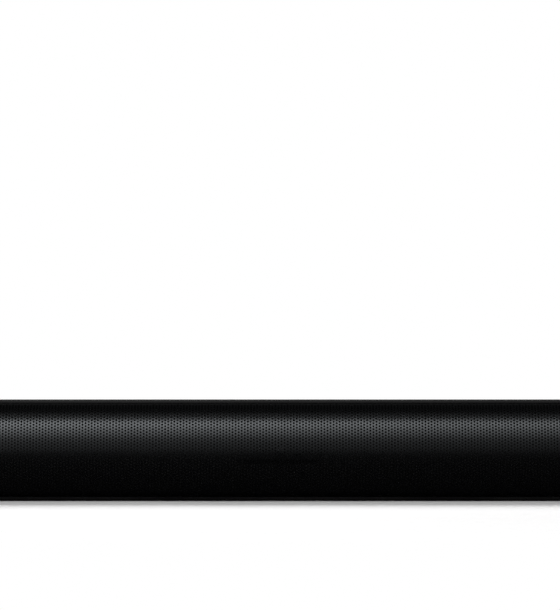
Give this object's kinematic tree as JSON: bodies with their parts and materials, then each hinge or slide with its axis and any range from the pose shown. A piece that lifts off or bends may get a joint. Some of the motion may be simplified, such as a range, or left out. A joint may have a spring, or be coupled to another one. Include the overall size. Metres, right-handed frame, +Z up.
{
  "type": "soundbar",
  "caption": "Long black soundbar with a convex perforated steel grille, flush buttons on top, a recessed socket tray at the back and cone drivers inside.",
  "frame": {"origin": "on the surface the feet stand on, under the middle of the bar", "axes": "+X along the bar to its right-hand end as seen from behind the listener, +Y away from the listener to the back wall, +Z up; the grille faces -Y"},
  "size_m": [0.9, 0.095, 0.0726],
  "materials": {
    "powder_coated_steel": "black powder coat, satin, perforated",
    "satin_housing": "satin black moulding",
    "moulded_housing": "fine textured black moulding",
    "foot_rubber": "matte",
    "surround_rubber": "smooth",
    "paper_cone": "pressed pulp cone, matte",
    "basket_steel": "pressed steel, black coat",
    "ferrite": "ferrite ring between steel plates",
    "dome_metal": "drawn dome, satin",
    "plated_steel": "zinc plated",
    "circuit_board": "green solder mask",
    "sink_aluminium": "extruded, satin",
    "transformer_winding": "ferrite core in yellow tape",
    "capacitor_sleeve": "aluminium can in a dark sleeve",
    "clear_light_pipe": "clear acrylic",
    "cable_sleeve": "sleeved pair"
  },
  "bodies": {
    "cabinet": {"ac_inlet": "moulded_housing", "aux_jack": "moulded_housing", "back_left_foot": "foot_rubber", "back_right_foot": "foot_rubber", "base_plate": "moulded_housing", "bulk_capacitor": "capacitor_sleeve", "control_board": "circuit_board", "display_board": "circuit_board", "front_baffle": "moulded_housing", "front_left_foot": "foot_rubber", "front_right_foot": "foot_rubber", "grille": "powder_coated_steel", "hdmi_socket": "plated_steel", "heat_sink": "sink_aluminium", "left_end_cap": "satin_housing", "left_inner_woofer_basket": "basket_steel", "left_inner_woofer_magnet": "ferrite", "left_inner_woofer_surround": "surround_rubber", "left_keyhole_plate": "plated_steel", "left_outer_woofer_basket": "basket_steel", "left_outer_woofer_magnet": "ferrite", "left_outer_woofer_surround": "surround_rubber", "left_speaker_cable": "cable_sleeve", "left_tweeter_faceplate": "moulded_housing", "left_tweeter_magnet": "ferrite", "main_board": "circuit_board", "optical_socket": "moulded_housing", "power_board": "circuit_board", "rear_cabinet": "moulded_housing", "right_end_cap": "satin_housing", "right_inner_woofer_basket": "basket_steel", "right_inner_woofer_magnet": "ferrite", "right_inner_woofer_surround": "surround_rubber", "right_keyhole_plate": "plated_steel", "right_outer_woofer_basket": "basket_steel", "right_outer_woofer_magnet": "ferrite", "right_outer_woofer_surround": "surround_rubber", "right_speaker_cable": "cable_sleeve", "right_tweeter_faceplate": "moulded_housing", "right_tweeter_magnet": "ferrite", "socket_tray": "moulded_housing", "status_light_pipe": "clear_light_pipe", "top_panel": "satin_housing", "transformer": "transformer_winding", "usb_socket": "plated_steel", "wireless_module": "plated_steel"},
    "power_button": {"power_button": "moulded_housing"},
    "source_button": {"source_button": "moulded_housing"},
    "volume_down_button": {"volume_down_button": "moulded_housing"},
    "volume_up_button": {"volume_up_button": "moulded_housing"},
    "left_outer_woofer_cone": {"left_outer_woofer_cone": "paper_cone"},
    "left_inner_woofer_cone": {"left_inner_woofer_cone": "paper_cone"},
    "right_inner_woofer_cone": {"right_inner_woofer_cone": "paper_cone"},
    "right_outer_woofer_cone": {"right_outer_woofer_cone": "paper_cone"},
    "left_tweeter_dome": {"left_tweeter_dome": "dome_metal"},
    "right_tweeter_dome": {"right_tweeter_dome": "dome_metal"},
    "optical_shutter": {"optical_shutter": "moulded_housing"}
  },
  "joints": [
    {"name": "power_press", "type": "slide", "parent": "cabinet", "child": "power_button", "axis": [0, 0, -1], "range_m": [0, 0.0008], "stiffness_N_per_m": 600, "springref_m": -0.001},
    {"name": "source_press", "type": "slide", "parent": "cabinet", "child": "source_button", "axis": [0, 0, -1], "range_m": [0, 0.0008], "stiffness_N_per_m": 600, "springref_m": -0.001},
    {"name": "volume_down_press", "type": "slide", "parent": "cabinet", "child": "volume_down_button", "axis": [0, 0, -1], "range_m": [0, 0.0008], "stiffness_N_per_m": 600, "springref_m": -0.001},
    {"name": "volume_up_press", "type": "slide", "parent": "cabinet", "child": "volume_up_button", "axis": [0, 0, -1], "range_m": [0, 0.0008], "stiffness_N_per_m": 600, "springref_m": -0.001},
    {"name": "left_outer_woofer_travel", "type": "slide", "parent": "cabinet", "child": "left_outer_woofer_cone", "axis": [0, -1, 0], "range_m": [-0.0025, 0.0025], "stiffness_N_per_m": 500},
    {"name": "left_inner_woofer_travel", "type": "slide", "parent": "cabinet", "child": "left_inner_woofer_cone", "axis": [0, -1, 0], "range_m": [-0.0025, 0.0025], "stiffness_N_per_m": 500},
    {"name": "right_inner_woofer_travel", "type": "slide", "parent": "cabinet", "child": "right_inner_woofer_cone", "axis": [0, -1, 0], "range_m": [-0.0025, 0.0025], "stiffness_N_per_m": 500},
    {"name": "right_outer_woofer_travel", "type": "slide", "parent": "cabinet", "child": "right_outer_woofer_cone", "axis": [0, -1, 0], "range_m": [-0.0025, 0.0025], "stiffness_N_per_m": 500},
    {"name": "left_tweeter_travel", "type": "slide", "parent": "cabinet", "child": "left_tweeter_dome", "axis": [0, -1, 0], "range_m": [-0.0004, 0.0004], "stiffness_N_per_m": 500},
    {"name": "right_tweeter_travel", "type": "slide", "parent": "cabinet", "child": "right_tweeter_dome", "axis": [0, -1, 0], "range_m": [-0.0004, 0.0004], "stiffness_N_per_m": 500},
    {"name": "optical_shutter_hinge", "type": "hinge", "parent": "cabinet", "child": "optical_shutter", "pos_m": [0.032, 0.0315, 0.02325], "axis": [-1, 0, 0], "range_deg": [0, 75], "stiffness_Nm_per_rad": 0.001, "springref_deg": -8.59}
  ]
}
